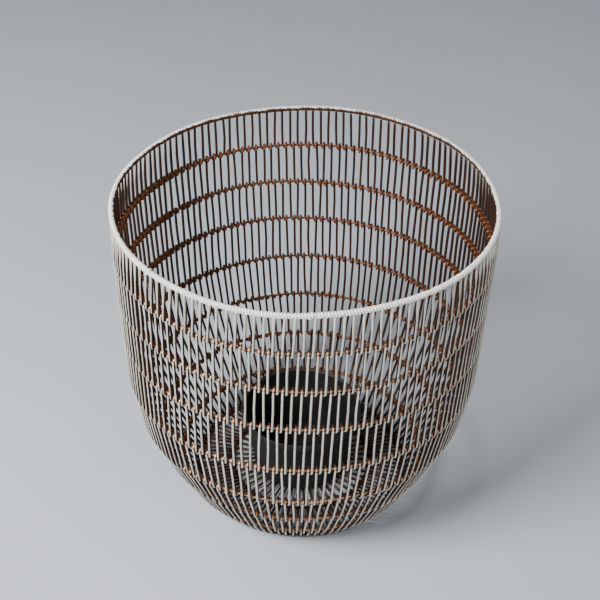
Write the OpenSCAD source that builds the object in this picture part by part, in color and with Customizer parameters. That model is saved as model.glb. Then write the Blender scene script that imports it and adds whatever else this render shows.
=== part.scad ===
// Round open basket planter: upright wires carried on horizontal hoops under a
// bound rim, a wire floor on a half-round foot ring, and a lift-out inner pot.
// Origin at the centre of the foot, on the ground. Millimetres, +Z up.

/* [Basket] */
// Diameter over the bound rim
rim_d = 440; // [380:1:480]
// Height from the ground to the top of the rim
basket_h = 408; // [385:1:435]
// Diameter of the foot ring, centre to centre
foot_d = 264; // [230:1:280]
// Height at which the rounded lower part becomes the upright wall
bowl_h = 157; // [140:1:175]
// Roundness of the lower part, from 1 for a cone to 2 for an ellipse
bowl_roundness = 1.2; // [1:0.05:2]
// How much wider the wall is at the rim than at its foot
wall_flare = 13; // [0:1:20]

/* [Wires] */
// Thickness of the upright wires
wire_d = 3.2; // [2.4:0.1:3.6]
// Thickness of the hoop rods
hoop_d = 3; // [2.5:0.1:3.5]
// Thickness of the rod inside the rim
rim_rod_d = 2.8; // [2.4:0.1:3.2]
// Thickness of the binding wire round the rim
binding_d = 2; // [1.6:0.1:2.4]
// Number of upright wires in the full-width rows
full_count = 138; // [120:6:144]
// Sideways step of a wire where it passes a hoop, as a share of the spacing
hoop_step = 0.46; // [0.4:0.01:0.5]
// Sideways lean of a wire over one row, as a share of the spacing
row_lean = 0.1; // [0:0.01:0.15]

/* [Inner pot] */
// Outside diameter under the lip
pot_top_d = 148; // [120:1:170]
// Outside diameter at the bottom
pot_base_d = 122; // [100:1:140]
// Height of the inner pot
pot_h = 88; // [70:1:100]
// Wall thickness of the inner pot
pot_wall = 1.6; // [1.2:0.1:2.5]
// Overhang of the rolled lip
lip_w = 2.5; // [1.5:0.5:4]

/* [Hidden] */
$fn = 48;

// Colours
painted = "gainsboro";
antique = "sienna";
shade = "saddlebrown";
black = "dimgray";

// How far touching wires press into one another, so that they hold together
bite = 0.05;
// Running gap under the part that lifts out
lift_gap = 0.3;

// Heights of the seven hoops above the ground, from the top one down
hoop_z = [354, 301, 246, 185, 127, 76, 30];
hoops = len(hoop_z);
// Upright wires are left out of the lower rows as the basket narrows
row_count = [full_count, full_count, full_count, full_count, full_count,
             full_count - 12, full_count - 22, full_count - 34];

rim_section = rim_rod_d + 2 * binding_d;
rim_r = rim_d / 2 - rim_section / 2;
rim_z = basket_h - rim_section / 2;
wall_r = rim_r - wall_flare;
foot_r = foot_d / 2;
foot_half = 3.2;
start_angle = -90;

// Radius of the hoops' centre line at height h
function bulge(t) = pow(1 - pow(1 - t, bowl_roundness), 1 / bowl_roundness);
function profile_r(h) =
    foot_r + (wall_r - foot_r) * bulge(min(h / bowl_h, 1)) + wall_flare * h / rim_z;

// Centre line of hoop i as [radius, height]; 0 is the rim and the last is the foot ring
function hoop_point(i) =
    i == 0 ? [rim_r, rim_z] :
    i > hoops ? [foot_r, 0] : [profile_r(hoop_z[i - 1]), hoop_z[i - 1]];

// Slope of the wall at hoop i, measured from upright, from its two neighbours
function slope(i) =
    let (a = hoop_point(i - 1), b = hoop_point(i + 1))
    atan2(a[0] - b[0], a[1] - b[1]);

// Centre of the upright wires where they lie on hoop i, on its outside
rim_seat = [0.9, -2.2];
foot_seat_angle = 20;
foot_seat = foot_half + wire_d / 2 - 2 * bite;
hoop_seat = (hoop_d + wire_d) / 2 - bite;
function seat(i) =
    i == 0 ? hoop_point(0) + rim_seat :
    i > hoops ? hoop_point(i) + foot_seat * [cos(foot_seat_angle), sin(foot_seat_angle)] :
    hoop_point(i) + hoop_seat * [cos(slope(i)), -sin(slope(i))];

function around(p, angle) = [p[0] * cos(angle), p[0] * sin(angle), p[1]];

// A straight length of wire from point a to point b
module wire(a, b) {
    run = b - a;
    length = norm(run);
    translate(a)
        rotate([0, acos(run[2] / length), atan2(run[1], run[0])])
            cylinder(h = length, d = wire_d);
}

// A hoop of round rod, centre line at [radius, height]
module rod_ring(point, d) {
    rotate_extrude($fn = 180)
        translate(point)
            circle(d = d);
}

// One row of upright wires, from hoop i down to hoop i + 1
module wires_row(i) {
    count = row_count[i];
    spacing = 360 / count;
    first = start_angle - i * (hoop_step + row_lean) * spacing;
    color(i % 2 == 0 ? painted : antique)
        for (k = [0 : count - 1])
            wire(
                around(seat(i), first - k * spacing),
                around(seat(i + 1), first - (k + row_lean) * spacing)
            );
}

module hoop(i) {
    color(shade)
        rod_ring(hoop_point(i), hoop_d);
}

module rim_rod() {
    color(shade)
        rod_ring([rim_r, rim_z], rim_rod_d);
}

// The close winding round the rim, as one sleeve of the winding's outer size
module rim_binding() {
    color(painted)
        rotate_extrude($fn = 180)
            translate([rim_r, rim_z])
                difference() {
                    circle(d = rim_section);
                    circle(d = rim_rod_d);
                }
}

// Half-round bar, flat side down, on which the basket stands
module foot_ring() {
    color(shade)
        rotate_extrude($fn = 180)
            translate([foot_r, 0])
                intersection() {
                    circle(r = foot_half);
                    translate([-foot_half, 0])
                        square([2 * foot_half, foot_half]);
                }
}

// The wire floor lies on the foot ring, and its two hoops hang under it
floor_count = [row_count[7], row_count[7] / 2, row_count[7] / 4];
floor_z = foot_half + wire_d / 2 - bite;
floor_hoop_z = floor_z - hoop_seat;
floor_r = [foot_r + 2, 90, 45, 14];
hub_r = 16;
hub_t = 1.6;

module floor_wires(i) {
    spacing = 360 / floor_count[i];
    color(painted)
        for (k = [0 : floor_count[i] - 1])
            wire(
                around([floor_r[i], floor_z], (k + 0.5) * spacing),
                around([floor_r[i + 1], floor_z], (k + 0.5) * spacing)
            );
}

module floor_hoop(i) {
    color(shade)
        rod_ring([floor_r[i], floor_hoop_z], hoop_d);
}

// Small disc that the innermost floor wires lie on
module floor_hub() {
    color(shade)
        translate([0, 0, floor_z - wire_d / 2 + bite - hub_t])
            cylinder(h = hub_t, r = hub_r);
}

// Plain tapered pot with a rolled lip and drain holes, standing on the wire floor
pot_z = floor_z + wire_d / 2 + lift_gap;
lip_h = 8;
drain_d = 10;
drain_pitch_d = 84;
drains = 6;

module pot_outline(top_r, base_r, h) {
    polygon([[0, 0], [base_r, 0], [top_r, h], [0, h]]);
}

module inner_pot() {
    color(black)
        translate([0, 0, pot_z])
            difference() {
                rotate_extrude($fn = 120)
                    difference() {
                        union() {
                            pot_outline(pot_top_d / 2, pot_base_d / 2, pot_h);
                            translate([0, pot_h - lip_h])
                                square([pot_top_d / 2 + lip_w, lip_h]);
                        }
                        translate([0, pot_wall])
                            pot_outline(
                                pot_top_d / 2 - pot_wall,
                                pot_base_d / 2 - pot_wall,
                                pot_h
                            );
                    }
                for (k = [0 : drains - 1])
                    rotate([0, 0, k * 360 / drains])
                        translate([drain_pitch_d / 2, 0, -1])
                            cylinder(h = pot_wall + 2, d = drain_d);
            }
}

rim_rod();
rim_binding();
hoop(1);  // hoop_1
hoop(2);  // hoop_2
hoop(3);  // hoop_3
hoop(4);  // hoop_4
hoop(5);  // hoop_5
hoop(6);  // hoop_6
hoop(7);  // hoop_7
foot_ring();
wires_row(0);  // wires_row_1
wires_row(1);  // wires_row_2
wires_row(2);  // wires_row_3
wires_row(3);  // wires_row_4
wires_row(4);  // wires_row_5
wires_row(5);  // wires_row_6
wires_row(6);  // wires_row_7
wires_row(7);  // wires_row_8
floor_hoop(1);  // floor_hoop_outer
floor_hoop(2);  // floor_hoop_inner
floor_hub();
floor_wires(0);  // floor_wires_outer
floor_wires(1);  // floor_wires_middle
floor_wires(2);  // floor_wires_inner
inner_pot();
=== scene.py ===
# %% [markdown]
# # An open wire basket planter
#
# The planter is a round basket of upright wires that are wrapped, one by one,
# round seven horizontal hoops. Thin wire is wound close round the rod at the
# rim. The outside was whitewashed by spraying, so the inner side stays dark
# antique copper. A plain black pot stands loose inside.
#
# First the imported model is loaded. Its rings and rods give the main sizes. The
# small things, such as the wraps, the wander and the finish, are judged.

# %% Load the frame
import math

import bpy
import numpy as np
from mathutils import Matrix, Vector


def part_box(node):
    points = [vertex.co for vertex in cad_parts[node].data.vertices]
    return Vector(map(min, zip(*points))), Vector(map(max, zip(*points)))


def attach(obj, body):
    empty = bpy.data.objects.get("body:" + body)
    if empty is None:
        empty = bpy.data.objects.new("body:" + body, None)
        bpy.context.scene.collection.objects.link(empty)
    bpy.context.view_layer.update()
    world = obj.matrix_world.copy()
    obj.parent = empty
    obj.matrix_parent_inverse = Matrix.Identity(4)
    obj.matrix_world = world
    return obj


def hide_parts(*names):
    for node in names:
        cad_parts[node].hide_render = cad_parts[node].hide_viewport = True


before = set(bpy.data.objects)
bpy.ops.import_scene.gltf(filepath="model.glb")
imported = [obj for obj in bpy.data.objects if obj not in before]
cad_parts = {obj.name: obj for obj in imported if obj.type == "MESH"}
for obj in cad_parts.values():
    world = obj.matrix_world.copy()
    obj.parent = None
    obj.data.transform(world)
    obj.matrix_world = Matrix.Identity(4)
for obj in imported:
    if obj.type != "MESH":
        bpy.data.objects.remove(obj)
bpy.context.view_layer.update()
MM = 0.001
luck = np.random.default_rng(11)

# %% [markdown]
# ## Camera, floor and light
#
# The camera stands in front of the basket and looks down at it. It is placed
# by its heading, its pitch and a small roll, built as three turns in a row.

# %% The camera
pitch, heading, roll = math.radians(36.292), math.radians(0.131), math.radians(0.386)
turn = (Matrix.Rotation(heading, 4, "Z") @ Matrix.Rotation(math.pi / 2 - pitch, 4, "X")
        @ Matrix.Rotation(roll, 4, "Z"))
lens = bpy.data.cameras.new("camera")
lens.sensor_width, lens.lens = 36, 70.07
camera = bpy.data.objects.new("camera", lens)
camera.matrix_world = Matrix.Translation((0, -1.1275, 1.0905)) @ turn
bpy.context.scene.collection.objects.link(camera)
bpy.context.scene.camera = camera
print("camera", lens.lens, "mm lens")

# %% [markdown]
# ## Shader sums as plain sums
#
# A finish is a small sum over the surface: how much paint is left here, how
# dark is the metal there. Wrapping a node's output in a class lets such a sum
# be written as a sum, and each operator adds its own Math node.


# %% Sums on sockets
class Value:
    """One output of a node. Sums on it add Math nodes."""

    def __init__(self, finish, socket):
        self.finish, self.socket = finish, socket

    def maths(self, operation, *others, clamp=False):
        return self.finish.node("ShaderNodeMath", {"operation": operation, "use_clamp": clamp},
                                dict(enumerate((self, *others))))

    def __add__(self, other):
        return self.maths("ADD", other)

    def __sub__(self, other):
        return self.maths("SUBTRACT", other)

    def __rsub__(self, other):
        return self.finish.node("ShaderNodeMath", {"operation": "SUBTRACT"}, {0: other, 1: self})

    def __mul__(self, other):
        return self.maths("MULTIPLY", other)

    def limited(self):
        return self.maths("ADD", 0.0, clamp=True)

    __radd__ = __add__
    __rmul__ = __mul__


class Finish:
    """A material under way: node() adds one node, and the rest are short names for it."""

    def __init__(self, name):
        self.material = bpy.data.materials.new(name)
        self.material.use_nodes = True
        self.tree = self.material.node_tree
        self.shader = self.tree.nodes["Principled BSDF"]

    def node(self, kind, settings=None, values=None, output=0):
        made = self.tree.nodes.new(kind)
        for key, value in (settings or {}).items():
            if key == "stops":
                while len(made.color_ramp.elements) < len(value):
                    made.color_ramp.elements.new(0.5)
                for element, (place, tint) in zip(made.color_ramp.elements, value):
                    element.position, element.color = place, tint
            else:
                setattr(made, key, value)
        for key, value in (values or {}).items():
            if isinstance(value, Value):
                self.tree.links.new(value.socket, made.inputs[key])
            else:
                made.inputs[key].default_value = value
        return Value(self, made.outputs[output])

    def place(self):
        return self.node("ShaderNodeTexCoord", output="Object")

    def direction(self):
        return self.node("ShaderNodeTexCoord", output="Normal")

    def vector(self, operation, a, b, output=0):
        return self.node("ShaderNodeVectorMath", {"operation": operation}, {0: a, 1: b}, output)

    def speckle(self, size, detail=2.0, rough=0.5):
        """Soft noise from 0 to 1 whose blotches are about that size, in metres."""
        return self.node("ShaderNodeTexNoise", None,
                         {"Vector": self.place(), "Scale": 1 / size, "Detail": detail,
                          "Roughness": rough})

    def mark(self, name):
        """A number that the mesh carries at each of its points."""
        return self.node("ShaderNodeAttribute", {"attribute_name": name}, output="Fac")

    def step(self, value, low, high):
        """0 below low, 1 above high, and smooth between."""
        return self.node("ShaderNodeMapRange", {"interpolation_type": "SMOOTHSTEP"},
                         {"Value": value, "From Min": low, "From Max": high})

    def blend(self, share, first, second):
        return self.node("ShaderNodeMix", {"data_type": "RGBA"},
                         {0: share, 6: first, 7: second}, output=2)

    def set(self, **sockets):
        for name, value in sockets.items():
            socket = self.shader.inputs[name.replace("_", " ")]
            if isinstance(value, Value):
                self.tree.links.new(value.socket, socket)
            else:
                socket.default_value = value

    def bump(self, height, depth, strength=1.0):
        """Lets a height from 0 to 1 stand that many metres proud in the light."""
        self.set(Normal=self.node("ShaderNodeBump", None, {"Height": height, "Distance": depth,
                                                           "Strength": strength}))


def tint(code):
    """A colour written as on a paint card, #RRGGBB, as the numbers that a shader wants."""
    parts = [int(code[i:i + 2], 16) / 255 for i in (1, 3, 5)]
    return tuple(c / 12.92 if c <= 0.04045 else ((c + 0.055) / 1.055) ** 2.4 for c in parts) + (1,)


print("cream paint", [round(v, 3) for v in tint("#D8D4CC")])

# %% [markdown]
# ## The floor and the light
#
# The floor is one pale sheet, with a little unevenness so that it doesn't look
# like paper. Soft light comes from the upper left, and the sky fills the rest.

# %% Floor
plaster = Finish("pale_floor")
patches = plaster.speckle(0.35, 3.0)
plaster.set(Base_Color=plaster.blend(patches, tint("#BFC5CC"), tint("#C8CED5")),
            Roughness=0.7 + 0.1 * patches)
bpy.ops.object.select_all(action="DESELECT")
bpy.ops.mesh.primitive_plane_add(size=14, location=(0, 0, 0))
ground = bpy.context.object
ground.name = "floor"
ground.data.materials.append(plaster.material)

# %% Light
def soft_light(name, place, target, size, power):
    lamp = bpy.data.lights.new(name, "AREA")
    lamp.shape, lamp.size, lamp.energy = "SQUARE", size, power
    holder = bpy.data.objects.new(name, lamp)
    holder.location = place
    holder.rotation_euler = (Vector(target) - Vector(place)).to_track_quat("-Z", "Y").to_euler()
    bpy.context.scene.collection.objects.link(holder)


soft_light("window_light", (-1.5, -1.1, 1.9), (-0.2, 0, 0.2), 1.1, 118)
soft_light("front_fill", (0.7, -2.3, 1.3), (0, 0, 0.2), 1.4, 16)
sky = bpy.data.worlds.new("sky")
sky.use_nodes = True
sky.node_tree.nodes["Background"].inputs["Color"].default_value = (0.93, 0.96, 1.0, 1)
sky.node_tree.nodes["Background"].inputs["Strength"].default_value = 0.24
bpy.context.scene.world = sky

# %% [markdown]
# ## The whitewashed metal
#
# Paint was sprayed from outside, so it lies on whatever faces away from the
# axis. The dot product of a point's normal with the direction out of the
# basket says how far a face is turned outwards. A little noise makes the edge
# of the paint ragged. Each mesh also carries a mark, "bare": 1 where a wrap
# was rubbed back to copper, 0 for a plain stretch, -1 where paint ran all
# round. A second mark, "tone", makes one wire a little darker than the next.
# Bare copper is drawn bright where it faces up and out and dark brown where it faces into the basket: painted
# highlight and painted shade over the real rubbed copper.


# %% Whitewash over antique copper
def whitewashed(name, paint, shade, metal_dark, metal_warm, copper, upward=0.0, start=0.5,
                bare_pull=1.25):
    """Metal with sprayed paint on its outer side. upward is how much a face that looks up catches too."""
    f = Finish(name)
    flat = f.vector("MULTIPLY", f.place(), (1, 1, 0))
    outward = f.node("ShaderNodeVectorMath", {"operation": "NORMALIZE"}, {0: flat})
    facing = f.vector("DOT_PRODUCT", f.direction(), outward, "Value")
    lift = f.vector("DOT_PRODUCT", f.direction(), (0, 0, 1), "Value")
    grain, blotch, cloud = f.speckle(0.0011, 3.0), f.speckle(0.006, 2.0), f.speckle(0.05, 2.0)
    bare, tone = f.mark("bare"), f.mark("tone")
    reach = facing + lift * upward - bare * bare_pull + (grain - 0.5) * 0.35 + (blotch - 0.5) * 0.35
    paint_here = f.step(reach, start, start + 0.3)
    metal = f.blend((0.9 * cloud + 0.35 * tone + 0.5 * (blotch - 0.5)).limited(), metal_dark, metal_warm)
    # painted highlight: faces that look up get more bright copper, on top of the copper really rubbed bare at
    # the wraps
    rubbed_with_top_highlight = f.step(bare + 0.5 * (blotch - 0.5) + 0.35 * lift, 0.25, 0.95)
    # painted light and shade: bare copper is bright where it faces out and dark brown (#6E3F20) where it faces
    # into the basket
    copper_with_painted_shade = f.blend(f.step(facing + 0.5 * (blotch - 0.5), -0.1, 0.7), tint("#6E3F20"), copper)
    metal = f.blend(rubbed_with_top_highlight, metal, copper_with_painted_shade)
    coat = f.blend((0.45 * blotch + 0.5 * tone + 0.5 * (cloud - 0.5)).limited(), paint, shade)
    f.set(Base_Color=f.blend(paint_here, metal, coat),
          Metallic=(1 - paint_here) * 0.35,
          Roughness=0.36 + 0.3 * paint_here + 0.12 * (grain - 0.5))
    f.bump(0.5 * paint_here + 0.5 * grain, 0.00022, 0.6)
    return f.material


wire_finish = whitewashed("whitewashed_wire", tint("#D6D3CB"), tint("#B5AE9F"),
                          tint("#1E0E07"), tint("#46291A"), tint("#D8A680"))
# The hoops are bare copper almost all over, so their copper carries the painted highlight and painted shade
# from whitewashed().
hoop_finish = whitewashed("rubbed_hoop_painted_light_and_shade", tint("#D8C8B4"), tint("#BE9A78"),
                          tint("#32190C"), tint("#6B4020"), tint("#CF9669"), start=0.45)
rim_finish = whitewashed("whitewashed_binding", tint("#FFFDF8"), tint("#EFEAE0"),
                         tint("#2A150B"), tint("#5C3A20"), tint("#B87A4E"),
                         upward=0.9, start=-0.2)
# The foot ring, base hoops, base wires and hub get a darker copy of the wire finish: painted shade for the
# bottom of the basket, where little light reaches.
base_metal_painted_shade = whitewashed("base_metal_with_painted_shade", tint("#CFC4B4"), tint("#A89880"),
                          tint("#1C0F08"), tint("#3C2415"), tint("#5E3B22"), start=0.6)

# %% [markdown]
# ## Black moulded plastic
#
# The pot inside is cheap injection-moulded plastic: matt, with a very fine
# skin and some pale dust where it is handled.

# %% Plastic
moulded = Finish("black_moulded_plastic")
skin, dust = moulded.speckle(0.0006, 2.0), moulded.speckle(0.03, 4.0)
moulded.set(Base_Color=moulded.blend(moulded.step(dust, 0.45, 0.8) * 0.4, tint("#141414"), tint("#3B3935")),
            Roughness=0.5 + 0.2 * dust)
moulded.bump(skin, 0.00008, 0.5)
plastic_finish = moulded.material

# %% [markdown]
# ## Helpers for work at the bench
#
# An edit-mode tool acts on everything that is selected, so each piece starts
# with nothing selected. A finished piece gets its finish and rides on its body,
# and the plain parts of the imported model that it stands for are hidden.


# %% Start and finish a piece
def nothing_selected():
    if bpy.context.mode != "OBJECT":
        bpy.ops.object.mode_set(mode="OBJECT")
    bpy.ops.object.select_all(action="DESELECT")


def points_of(piece):
    found = np.empty(len(piece.data.vertices) * 3)
    piece.data.vertices.foreach_get("co", found)
    return found.reshape(-1, 3)


def put_points(piece, found):
    piece.data.vertices.foreach_set("co", found.ravel())
    piece.data.update()


def carry_mark(piece, name, numbers):
    layer = piece.data.attributes.new(name, "FLOAT", "POINT")
    layer.data.foreach_set("value", np.asarray(numbers, dtype=np.float32))


def hand_over(piece, name, finish, nodes, body="basket"):
    """Names the piece, gives it its finish, parents it to its body and hides the imported parts it stands for.
    """
    nothing_selected()
    piece.name = piece.data.name = name
    piece.data.materials.clear()
    piece.data.materials.append(finish)
    piece.data.shade_smooth()
    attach(piece, body)
    if nodes:
        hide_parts(*nodes)
    print(f"{name}: {len(piece.data.polygons)} faces")
    return piece


# %% [markdown]
# ## Sizes from the model
#
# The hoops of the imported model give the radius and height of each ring. A wire
# that wraps a hoop runs at a fixed distance round it: half of each thickness,
# and a little more because the wire is deeper than it is wide.

# %% Rings of the basket
def ring_of(node):
    low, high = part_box(node)
    rod = (high.z - low.z) / 2
    return (high.x - low.x) / 2 - rod, (high.z + low.z) / 2, rod


hoops = [ring_of(f"hoop_{n}") for n in range(1, 8)]
rim_radius, rim_height, rim_half = ring_of("rim_binding")
foot_low, foot_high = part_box("foot_ring")
foot_top = foot_high.z
foot_radius = foot_high.x - foot_top
base_wire_low, base_wire_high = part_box("floor_wires_outer")
wire_half = (base_wire_high.z - base_wire_low.z) / 2
depth_share = 1.3
round_hoop = hoops[0][2] + wire_half + 0.2 * MM
round_foot = foot_top + wire_half - 0.1 * MM
wires_in_row = [138, 138, 138, 138, 138, 126, 116, 104]
print("rim radius", round(rim_radius / MM, 1), "hoops", [round(h[0] / MM, 1) for h in hoops])

# %% [markdown]
# ## Made by hand, so never quite true
#
# On the real basket every ring wanders a little, and the rim sits slightly to
# one side and dips towards the front. One smooth shift moves wires and hoops alike, so they stay in touch.
# It dies away towards the ground, where the foot ring lies flat.


# %% The wander
def wander(found):
    x, y, z = found.T
    angle, radius = np.arctan2(y, x), np.hypot(x, y)
    up = np.clip(z / rim_height, 0, 1)
    swell = 0.7 * MM * up * (np.sin(2 * angle + 0.5 + 3 * up) + 0.6 * np.sin(5 * angle + 2 - 4 * up))
    sag = 0.8 * MM * np.minimum(1, z / 0.04) * (np.sin(3 * angle + 11 * up)
                                               + 0.6 * np.sin(7 * angle + 1 - 9 * up))
    lean, tilt = 2.6 * MM * up ** 2, 2.2 * MM * up ** 8 * np.sin(angle)
    radius = radius + swell
    return np.stack([radius * np.cos(angle) + lean, radius * np.sin(angle), z + sag + tilt], 1)


sample = np.array([[rim_radius, 0, rim_height]])
print("wander at the rim's side", np.round((wander(sample) - sample) / MM, 2)[0], "mm")

# %% [markdown]
# ## Drawing a wire
#
# A bent wire is a small filled circle that is extruded from point to point and
# turned a little at each bend, as a bending jig would. The upright wires are
# drawn a little deeper than they are wide, so the circle is stretched first.
# That is a choice made for their look from the side, and not a known fact. Every bend of these
# wires turns about the same sideways axis, so each step is one extrusion and
# one rotation.


# %% Lay a wire along a run of points
def lay_wire(run, half, sides=8, deep=1.0):
    """run is a list of (sideways, outwards, up) points; deep stretches the wire's section outwards."""
    nothing_selected()
    points = [Vector((side, -out, up)) for side, out, up in run]
    steps = [b - a for a, b in zip(points, points[1:])]
    headings = [math.atan2(s.y, -s.z) for s in steps]
    for i in range(1, len(headings)):
        while headings[i] - headings[i - 1] > math.pi:
            headings[i] -= 2 * math.pi
        while headings[i] - headings[i - 1] < -math.pi:
            headings[i] += 2 * math.pi
    turns = [headings[0]] + [(a + b) / 2 for a, b in zip(headings, headings[1:])] + [headings[-1]]
    bpy.ops.mesh.primitive_circle_add(vertices=sides, radius=half, fill_type="NGON",
                                      location=points[0], rotation=(turns[0], 0, 0))
    wire = bpy.context.object
    bpy.ops.object.transform_apply(location=True, rotation=True, scale=True)
    bpy.ops.object.mode_set(mode="EDIT")
    bpy.ops.mesh.select_mode(type="FACE")
    bpy.ops.mesh.select_all(action="SELECT")
    bpy.ops.transform.resize(value=(1, deep, 1), center_override=points[0])
    for i, step in enumerate(steps):
        bpy.ops.mesh.extrude_region_move(TRANSFORM_OT_translate={"value": step})
        # without a window this tool turns the other way, so the angle is negative
        bpy.ops.transform.rotate(value=turns[i] - turns[i + 1], orient_axis="X",
                                 center_override=points[i + 1])
    bpy.ops.mesh.select_all(action="SELECT")
    bpy.ops.mesh.normals_make_consistent(inside=False)
    bpy.ops.object.mode_set(mode="OBJECT")
    return wire


# %% Repeat a wire all round the axis
def all_round(piece, count):
    """Copies the piece's mesh round the basket, clockwise from above, count in all."""
    bpy.ops.object.mode_set(mode="EDIT")
    bpy.ops.mesh.select_all(action="SELECT")
    bpy.ops.mesh.spin(steps=count - 1, dupli=True, angle=2 * math.pi * (count - 1) / count,
                      center=(0, 0, 0), axis=(0, 0, 1))
    bpy.ops.object.mode_set(mode="OBJECT")


# %% [markdown]
# ## The upright wires
#
# Each wire comes down outside a hoop, passes under it, up its inner side, over
# the top and down again, about half a spacing further on. A row is made of
# wires from hoop to hoop: half a wrap over the upper hoop, a straight stretch
# and half a wrap under the lower hoop. The halves of two rows meet inside the
# hoop, where a wire runs straight up.
#
# The straight stretch touches both hoops, so it runs along the line between
# their centres, moved outwards by the distance at which a wire rides.

# %% Points of one wire
wrap_share, lean_share, foot_part, tight = 0.46, 0.10, 0.85, 0.8


def arc(ring, start, end, steps, side_from, side_to):
    """Points round a hoop, angles in degrees: 0 is outside, 90 is on top."""
    made = []
    for k in range(steps + 1):
        t = k / steps
        a = math.radians(start + (end - start) * t)
        made.append((side_from + (side_to - side_from) * t,
                     ring[0] + round_hoop * math.cos(a), ring[1] + tight * round_hoop * math.sin(a)))
    return made


def wire_run(row, spacing):
    """Points of a wire of that row, and for each how bare it is and how far down the wire it lies."""
    upper = hoops[row - 1] if row else None
    lower = hoops[row] if row < 7 else None
    start = upper or (rim_radius + 0.9 * MM - round_hoop, rim_height - 2.2 * MM)
    last = math.radians(20)
    end = lower or (foot_radius + round_foot * math.cos(last), round_foot * math.sin(last))
    slope = math.degrees(math.atan2(end[0] - start[0], start[1] - end[1]))
    wrap, lean = wrap_share * spacing, lean_share * spacing
    points, bare, down = [], [], []
    if upper:
        head = arc(upper, 180, slope, 4, wrap * (1 - foot_part), 0)
        points += head
        bare += [0.8, 1.0, 1.2, 0.9, 0.05]
        down += [0, 0, 0, 0, 0]
    else:
        points += arc(start + (0,), slope, slope, 1, 0, 0)[:1]
        points.append((0, points[0][1] - 0.1 * MM, points[0][2] - 4 * MM))
        bare += [-1.2, -0.6]
        down += [0, 0.05]
    if lower:
        foot = arc(lower, slope, -180, 4, -lean, -lean - wrap * foot_part)
    else:
        foot = [(-lean,) + tuple(end)]
    above, below = Vector(points[-1]), Vector(foot[0])
    points.append(tuple(above.lerp(below, 0.5)))
    bare.append(0)
    down.append(0.5)
    points += foot
    bare += [0, -0.2, 0.0, 0.5, 0.8] if lower else [0]
    down += [1] * len(foot)
    return points, bare, down


spacing = 2 * math.pi * hoops[0][0] / wires_in_row[0]
print("wires stand", round(spacing / MM, 2), "mm apart;", len(wire_run(2, spacing)[0]), "points in one wire")

# %% [markdown]
# One wire of a row is modelled in front of the basket and copied all round.
# Then each copy is nudged: its two ends along the hoops, its middle bowed a
# little. Neighbouring rows share the nudge at the hoop between them, because
# there it is one and the same wire.

# %% The eight rows
nudge = [luck.normal(0, 0.055, 138) for hoop in range(9)]


def weave_row(row):
    count = wires_in_row[row]
    share = 2 * math.pi / count
    above_radius = hoops[row - 1][0] if row else rim_radius
    below_radius = hoops[row][0] if row < 7 else foot_radius
    radius = below_radius * 0.5 + above_radius * 0.5
    points, bare, down = wire_run(row, share * radius)
    wire = lay_wire(points, wire_half, deep=depth_share)
    all_round(wire, count)
    found = points_of(wire).reshape(count, len(points), 8, 3)
    angle = np.arctan2(found[..., 1], found[..., 0])
    reach = np.hypot(found[..., 0], found[..., 1])
    above = nudge[row][:count, None, None] * share
    below = nudge[row + 1][:count, None, None] * share
    down = np.array(down)[None, :, None]
    bow = luck.normal(0, 0.035, (count, 1, 1)) * share
    angle = angle + above * (1 - down) + below * down + bow * 4 * down * (1 - down)
    angle = angle - row * (wrap_share + lean_share) * share
    reach = reach + luck.normal(0, 0.18 * MM, (count, 1, 1)) * 4 * down * (1 - down)
    found = np.stack([reach * np.cos(angle), reach * np.sin(angle), found[..., 2]], -1)
    put_points(wire, wander(found.reshape(-1, 3)))
    carry_mark(wire, "bare", np.broadcast_to(np.array(bare)[None, :, None], (count, len(points), 8)).ravel())
    carry_mark(wire, "tone", np.repeat(luck.uniform(0, 1, count), len(points) * 8))
    return hand_over(wire, f"row_{row + 1}_wires", wire_finish,
                     [f"wires_row_{row + 1}"])


for row in range(8):
    weave_row(row)

# %% [markdown]
# ## The hoops
#
# A hoop is a rod bent into a ring, with its two ends lapped and soldered. A
# torus gives the ring; the lap is a short stretch where the rod is twice as
# thick, made by swelling the ring there.


# %% Hoops
def bend_hoop(name, ring, nodes, finish, lap_at, lap=0.22):
    nothing_selected()
    bpy.ops.mesh.primitive_torus_add(major_segments=216, minor_segments=10, major_radius=ring[0],
                                     minor_radius=ring[2], location=(0, 0, ring[1]))
    hoop = bpy.context.object
    bpy.ops.object.transform_apply(location=True, rotation=True, scale=True)
    found = points_of(hoop)
    angle = np.arctan2(found[:, 1], found[:, 0])
    off = np.abs((angle - lap_at + math.pi) % (2 * math.pi) - math.pi) * ring[0]
    swell = 1 + lap * np.clip(1 - (off / (9 * MM)) ** 4, 0, 1)
    centre = np.stack([np.cos(angle) * ring[0], np.sin(angle) * ring[0], np.full(len(angle), ring[1])], 1)
    put_points(hoop, wander(centre + (found - centre) * swell[:, None]))
    carry_mark(hoop, "bare", np.full(len(angle), 0.75))
    carry_mark(hoop, "tone", 0.5 + 0.5 * np.sin(5 * angle + lap_at * 7))
    return hand_over(hoop, name, finish, nodes)


for n, ring in enumerate(hoops, 1):
    bend_hoop(f"hoop_{n}_rod", ring, [f"hoop_{n}"], hoop_finish, luck.uniform(-3, 3))

# %% [markdown]
# ## The rim
#
# The rim is a rod with thin wire wound close round it. One turn of the winding
# is a wire laid once round the rod, moving on by its own width, so that the
# end of one turn meets the start of the next. Three turns fit between two
# upright wires. No hand pulls each turn equally tight, so each stands a little
# more or less proud, and three thick turns are the knots that end a length.

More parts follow.
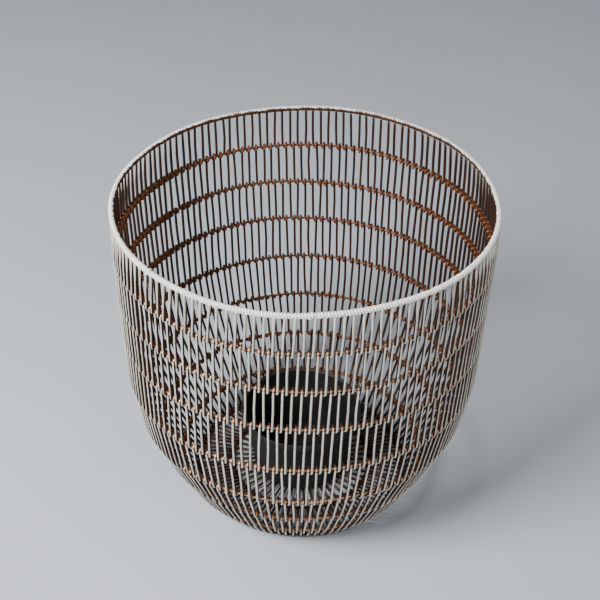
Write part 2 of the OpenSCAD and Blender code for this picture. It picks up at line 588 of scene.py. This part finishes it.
# %% Rod and winding
bend_hoop("rim_rod_ring", (rim_radius, rim_height, rim_half - 0.75 * MM), ["rim_rod"],
          rim_finish, 2.0)
turns_in_rim = 138 * 3
turn_width = 2 * math.pi * rim_radius / turns_in_rim
thin_half, widen = 1.15 * MM, 1.4
lap = [((k / 12 - 0.5) * turn_width / widen, rim_radius + (rim_half - thin_half) * math.cos(-k * math.pi / 6),
        rim_height + (rim_half - thin_half) * math.sin(-k * math.pi / 6)) for k in range(13)]
winding = lay_wire(lap, thin_half, sides=6)
bpy.ops.object.mode_set(mode="EDIT")
bpy.ops.mesh.select_all(action="SELECT")
bpy.ops.transform.resize(value=(widen, 1, 1), center_override=(0, -rim_radius, rim_height))
all_round(winding, turns_in_rim)
per_turn = len(winding.data.vertices) // turns_in_rim
found = points_of(winding).reshape(turns_in_rim, per_turn, 3)
angle = np.arctan2(found[..., 1], found[..., 0])
core = np.stack([rim_radius * np.cos(angle), rim_radius * np.sin(angle), np.full(angle.shape, rim_height)], -1)
proud = 1 + luck.normal(0, 0.035, turns_in_rim)
for knot in (-88, -138, 5):  # degrees round the rim
    at = int(round((-90 - knot) % 360 / 360 * turns_in_rim)) % turns_in_rim
    proud[at] = 1.3
put_points(winding, wander((core + (found - core) * proud[:, None, None]).reshape(-1, 3)))
rubbed_turns = np.clip(luck.normal(-0.05, 0.15, turns_in_rim), -0.3, 0.5)
carry_mark(winding, "bare", np.repeat(rubbed_turns, per_turn))
carry_mark(winding, "tone", np.repeat(luck.uniform(0, 0.8, turns_in_rim), per_turn))
hand_over(winding, "rim_winding", rim_finish, ["rim_binding"])
print("one turn every", round(turn_width / MM, 2), "mm")

# %% [markdown]
# ## The bottom of the basket
#
# The basket stands on a half-round ring. Radial wires lie on that ring, on two
# small hoops and on a hub disc, and carry the pot. They are made as the wall
# wires are; the outer ones curl down over the ring.

# %% Foot ring
nothing_selected()
bpy.ops.mesh.primitive_torus_add(major_segments=216, minor_segments=16, major_radius=foot_radius,
                                 minor_radius=foot_top, location=(0, 0, 0))
foot = bpy.context.object
bpy.ops.object.mode_set(mode="EDIT")
bpy.ops.mesh.select_all(action="SELECT")
bpy.ops.mesh.bisect(plane_co=(0, 0, 0), plane_no=(0, 0, 1), clear_inner=True, use_fill=False)
bpy.ops.mesh.select_all(action="SELECT")
bpy.ops.mesh.select_mode(type="EDGE")
bpy.ops.mesh.select_non_manifold()
bpy.ops.object.mode_set(mode="OBJECT")
print("foot ring open edges", sum(e.select for e in foot.data.edges))

# %% [markdown]
# The cut leaves two open circles on the ground plane. Bridging them makes the
# flat underside that the basket stands on.

# %% Close the underside
bpy.ops.object.mode_set(mode="EDIT")
bpy.ops.mesh.bridge_edge_loops()
bpy.ops.mesh.select_all(action="SELECT")
bpy.ops.mesh.normals_make_consistent(inside=False)
bpy.ops.object.mode_set(mode="OBJECT")
found = points_of(foot)
found[:, :2] *= (1 + 0.0006 * np.sin(3 * np.arctan2(found[:, 1], found[:, 0])))[:, None]
put_points(foot, wander(found))
carry_mark(foot, "bare", np.full(len(found), 0.6))
carry_mark(foot, "tone", np.full(len(found), 0.4))
hand_over(foot, "foot_ring_bar", base_metal_painted_shade, ["foot_ring"])

# %% Small hoops under the base wires
base_rings = {name: ring_of(f"floor_hoop_{name}") for name in ("outer", "inner")}
for name, ring in base_rings.items():
    bend_hoop(f"base_hoop_{name}_rod", ring, [f"floor_hoop_{name}"], base_metal_painted_shade, 1.0, lap=0.05)

# %% Radial base wires
base_height = base_rings["outer"][1] + base_rings["outer"][2] + wire_half - 0.05 * MM


def base_wires(name, count, run, half_step):
    wire = lay_wire(run, wire_half)
    all_round(wire, count)
    found = points_of(wire).reshape(count, -1, 3)
    angle = np.arctan2(found[..., 1], found[..., 0])
    reach = np.hypot(found[..., 0], found[..., 1])
    share = 2 * math.pi / count
    angle = angle + (half_step + luck.normal(0, 0.05, (count, 1))) * share
    found = np.stack([reach * np.cos(angle), reach * np.sin(angle), found[..., 2]], -1)
    put_points(wire, wander(found.reshape(-1, 3)))
    carry_mark(wire, "bare", np.full(found.shape[0] * found.shape[1], 0.2))
    carry_mark(wire, "tone", np.repeat(luck.uniform(0, 1, count), found.shape[1]))
    return hand_over(wire, f"base_wires_{name}_run", base_metal_painted_shade, [f"floor_wires_{name}"])


over_foot = [(0, foot_radius + (foot_top + wire_half) * math.cos(math.radians(a)),
              (foot_top + wire_half) * math.sin(math.radians(a))) for a in (20, 42, 66, 90)]
base_wires("outer", 104, over_foot + [(0, base_rings["outer"][0] + 20 * MM, base_height),
                                      (0, base_rings["outer"][0] - 2 * MM, base_height)], 0.5)
base_wires("middle", 52, [(0, base_rings["outer"][0] + 1 * MM, base_height),
                          (0, base_rings["outer"][0] - 22 * MM, base_height - 0.2 * MM),
                          (0, base_rings["inner"][0] - 1 * MM, base_height)], 0.5)
base_wires("inner", 26, [(0, base_rings["inner"][0] + 1 * MM, base_height),
                         (0, 28 * MM, base_height - 0.1 * MM), (0, 14.5 * MM, base_height)], 0.5)

# %% [markdown]
# The hub is a stamped disc. A cylinder is its blank: the edge is bevelled, and
# the middle of its top is inset and pressed down into a shallow dish.

# %% Hub disc
hub_low, hub_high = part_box("floor_hub")
nothing_selected()
bpy.ops.mesh.primitive_cylinder_add(vertices=64, radius=hub_high.x, depth=hub_high.z - hub_low.z,
                                    location=(0, 0, (hub_high.z + hub_low.z) / 2))
hub = bpy.context.object
bpy.ops.object.transform_apply(location=True, rotation=True, scale=True)
bpy.ops.object.mode_set(mode="EDIT")
bpy.ops.mesh.select_mode(type="FACE")
bpy.ops.mesh.select_all(action="DESELECT")
bpy.ops.object.mode_set(mode="OBJECT")
for face in hub.data.polygons:
    face.select = face.normal.z > 0.9
bpy.ops.object.mode_set(mode="EDIT")
bpy.ops.mesh.inset(thickness=8 * MM)
bpy.ops.mesh.inset(thickness=1.5 * MM)
bpy.ops.transform.translate(value=(0, 0, -0.5 * MM))
bpy.ops.object.mode_set(mode="OBJECT")
edge = hub.modifiers.new("edge", "BEVEL")
edge.width, edge.segments, edge.limit_method = 0.4 * MM, 2, "ANGLE"
bpy.context.view_layer.objects.active = hub
bpy.ops.object.modifier_apply(modifier="edge")
carry_mark(hub, "bare", np.full(len(hub.data.vertices), 0.6))
carry_mark(hub, "tone", np.full(len(hub.data.vertices), 0.6))
hand_over(hub, "base_hub_disc", base_metal_painted_shade, ["floor_hub"])

# %% [markdown]
# ## The loose pot
#
# Moulded pots are bodies of revolution. A circle is extruded and resized from
# ring to ring: out along the base, up the wall, over the rolled lip, and down
# inside again, so that the wall has its real thickness.

# %% Pot body
pot_low, pot_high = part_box("inner_pot")
lip, bottom, top = pot_high.x, pot_low.z, pot_high.z
wall = 1.6 * MM
foot_of_pot = 61 * MM
shoulder = 74 * MM


def ring_at(share):
    return foot_of_pot + (shoulder - foot_of_pot) * share


tall = top - bottom
outline = [(8 * MM, bottom + 1.2 * MM), (foot_of_pot - 7 * MM, bottom + 1.2 * MM),
           (foot_of_pot - 6 * MM, bottom), (foot_of_pot - 0.8 * MM, bottom),
           (ring_at(0.01), bottom + 0.9 * MM), (ring_at(0.12), bottom + 10 * MM),
           (ring_at(0.13) - 0.6 * MM, bottom + 11 * MM), (ring_at(0.86) - 0.6 * MM, top - 13 * MM),
           (ring_at(0.88), top - 12.3 * MM), (ring_at(0.9), top - 8.6 * MM), (lip - 0.6 * MM, top - 8 * MM),
           (lip, top - 7.4 * MM), (lip, top - 1.6 * MM), (lip - 0.5 * MM, top - 0.5 * MM),
           (lip - 1.5 * MM, top), (lip - 2.6 * MM, top - 0.5 * MM), (shoulder - wall, top - 2 * MM),
           (ring_at(0.02) - wall, bottom + 3.5 * MM), (foot_of_pot - wall - 2 * MM, bottom + wall + 1.2 * MM),
           (8 * MM, bottom + wall + 1.2 * MM)]
nothing_selected()
bpy.ops.mesh.primitive_circle_add(vertices=72, radius=outline[0][0], location=(0, 0, outline[0][1]),
                                  fill_type="NGON")
pot = bpy.context.object
bpy.ops.object.transform_apply(location=True, rotation=True, scale=True)
bpy.ops.object.mode_set(mode="EDIT")
bpy.ops.mesh.select_mode(type="FACE")
bpy.ops.mesh.select_all(action="SELECT")
for (r0, z0), (r1, z1) in zip(outline, outline[1:]):
    bpy.ops.mesh.extrude_region_move(TRANSFORM_OT_translate={"value": (0, 0, z1 - z0)})
    bpy.ops.transform.resize(value=(r1 / r0, r1 / r0, 1), center_override=(0, 0, z1))
bpy.ops.mesh.select_all(action="SELECT")
bpy.ops.mesh.normals_make_consistent(inside=False)
bpy.ops.object.mode_set(mode="OBJECT")

# %% [markdown]
# Six drain holes go through the base. One round punch is copied round the axis
# and taken away from the pot with a Boolean modifier.

# %% Drain holes
nothing_selected()
bpy.ops.mesh.primitive_cylinder_add(vertices=24, radius=5 * MM, depth=8 * MM,
                                    location=(42 * MM, 0, bottom + 2 * MM))
punch = bpy.context.object
bpy.ops.object.transform_apply(location=True, rotation=True, scale=True)
all_round(punch, 6)
drill = pot.modifiers.new("drain", "BOOLEAN")
drill.operation, drill.object, drill.solver = "DIFFERENCE", punch, "EXACT"
bpy.context.view_layer.objects.active = pot
bpy.ops.object.modifier_apply(modifier="drain")
bpy.data.objects.remove(punch)
hand_over(pot, "inner_pot_moulded", plastic_finish, ["inner_pot"], body="inner_pot")
bpy.ops.object.select_all(action="DESELECT")
pot.select_set(True)
bpy.context.view_layer.objects.active = pot
bpy.ops.object.shade_smooth_by_angle(angle=math.radians(35))
